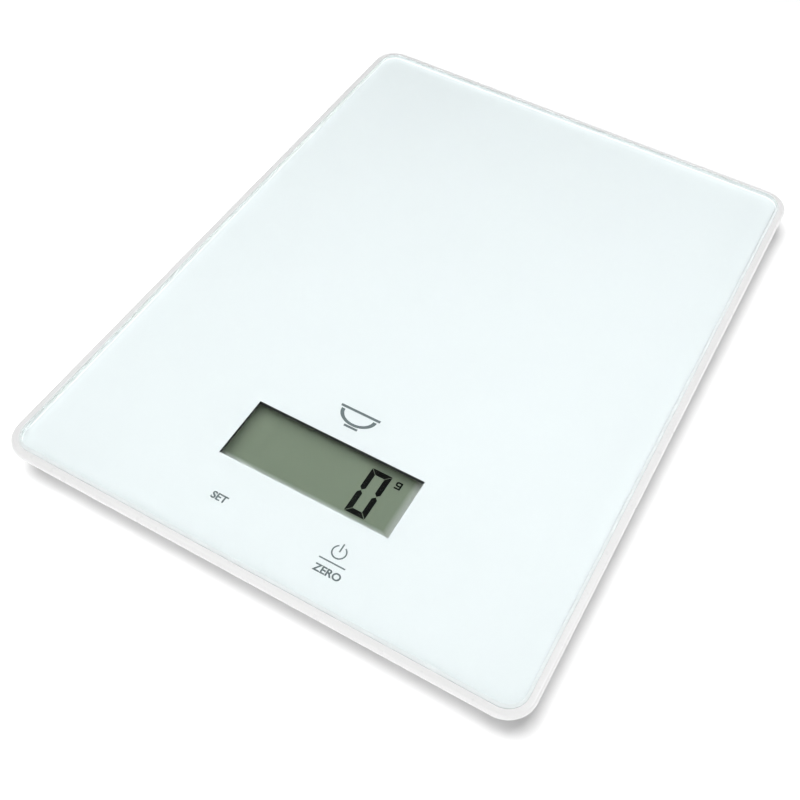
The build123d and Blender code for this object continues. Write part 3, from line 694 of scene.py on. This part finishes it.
class SCALE_OT_build_stage(bpy.types.Operator):
    """Pale floor, soft lamps and the camera"""
    bl_idname = "scale.build_stage"
    bl_label = "Build the stage"

    def execute(self, context):
        scene = context.scene
        scene.view_settings.view_transform = "Standard"
        floor_shape = bmesh.new()
        bmesh.ops.create_grid(floor_shape, x_segments=1, y_segments=1, size=FLOOR_HALF)
        floor_mesh = bpy.data.meshes.new("studio_floor")
        floor_shape.to_mesh(floor_mesh)
        floor_shape.free()
        floor = bpy.data.objects.new("studio_floor", floor_mesh)
        scene.collection.objects.link(floor)
        floor_material, tree, shader = new_finish(
            "studio_floor", colours().floor, 0.9, Specular_IOR_Level=0.0)
        floor_mesh.materials.append(floor_material)

        world = bpy.data.worlds.new("studio")
        scene.world = world
        world.use_nodes = True
        light_horizon(world.node_tree)

        add_softbox(*TABLE_LAMP, floor, floor_only=True)
        for lamp in SCALE_LAMPS:
            add_softbox(*lamp, floor, floor_only=False)

        camera_data = bpy.data.cameras.new("studio_camera")
        camera_data.lens = CAMERA_LENS
        camera_data.sensor_width = 36.0
        camera_data.clip_start = 0.01
        camera = bpy.data.objects.new("studio_camera", camera_data)
        scene.collection.objects.link(camera)
        camera.location = CAMERA_PLACE
        camera.rotation_euler = Euler([math.radians(a) for a in CAMERA_TURN], "XYZ")
        scene.camera = camera
        return {"FINISHED"}


def light_horizon(tree):
    """A pale band of wall round the studio under a dim ceiling."""
    way = add_node(tree, "ShaderNodeTexCoord")
    split = add_node(tree, "ShaderNodeSeparateXYZ")
    tree.links.new(way.outputs["Generated"], split.inputs["Vector"])
    level = spread(tree, split.outputs["Z"], WALL_STRENGTH, CEILING_STRENGTH, *WALL_TOP)
    tree.links.new(level, tree.nodes["Background"].inputs["Strength"])
    tree.nodes["Background"].inputs["Color"].default_value = (1, 1, 1, 1)


def add_softbox(name, place, size, power, floor, floor_only):
    """A lamp facing the scale's middle; it lights the floor only, or all but the floor."""
    lamp = bpy.data.lights.new(name, "AREA")
    lamp.shape = "RECTANGLE"
    lamp.size, lamp.size_y = size
    lamp.energy = power
    holder = bpy.data.objects.new(name, lamp)
    bpy.context.scene.collection.objects.link(holder)
    holder.location = place
    holder.rotation_euler = (-Vector(place)).to_track_quat("-Z", "Y").to_euler()
    lit = bpy.data.collections.new(name)
    lit.objects.link(floor)
    if not floor_only:
        lit.collection_objects[0].light_linking.link_state = "EXCLUDE"
    holder.light_linking.receiver_collection = lit


class SCALE_PT_looks(bpy.types.Panel):
    bl_idname = "SCALE_PT_looks"
    bl_label = "Kitchen scale"
    bl_space_type = "VIEW_3D"
    bl_region_type = "UI"
    bl_category = "Kitchen scale"

    def draw(self, context):
        for group in (context.scene.scale_sizes, context.scene.scale_colours):
            for name in group.__annotations__:
                self.layout.prop(group, name)
        for operator in OPERATORS:
            self.layout.operator(operator.bl_idname)


OPERATORS = (
    SCALE_OT_dress_platform,
    SCALE_OT_dress_case,
    SCALE_OT_dress_display,
    SCALE_OT_dress_inside,
    SCALE_OT_print_legends,
    SCALE_OT_print_bowl,
    SCALE_OT_build_stage,
)
CLASSES = (ScaleSizes, ScaleColours, *OPERATORS, SCALE_PT_looks)


def register():
    for cls in CLASSES:
        bpy.utils.register_class(cls)
    bpy.types.Scene.scale_sizes = PointerProperty(type=ScaleSizes)
    bpy.types.Scene.scale_colours = PointerProperty(type=ScaleColours)


def unregister():
    del bpy.types.Scene.scale_colours
    del bpy.types.Scene.scale_sizes
    for cls in reversed(CLASSES):
        bpy.utils.unregister_class(cls)


def main():
    register()
    for operator in OPERATORS:
        family, name = operator.bl_idname.split(".")
        getattr(getattr(bpy.ops, family), name)()


if __name__ == "__main__":
    main()
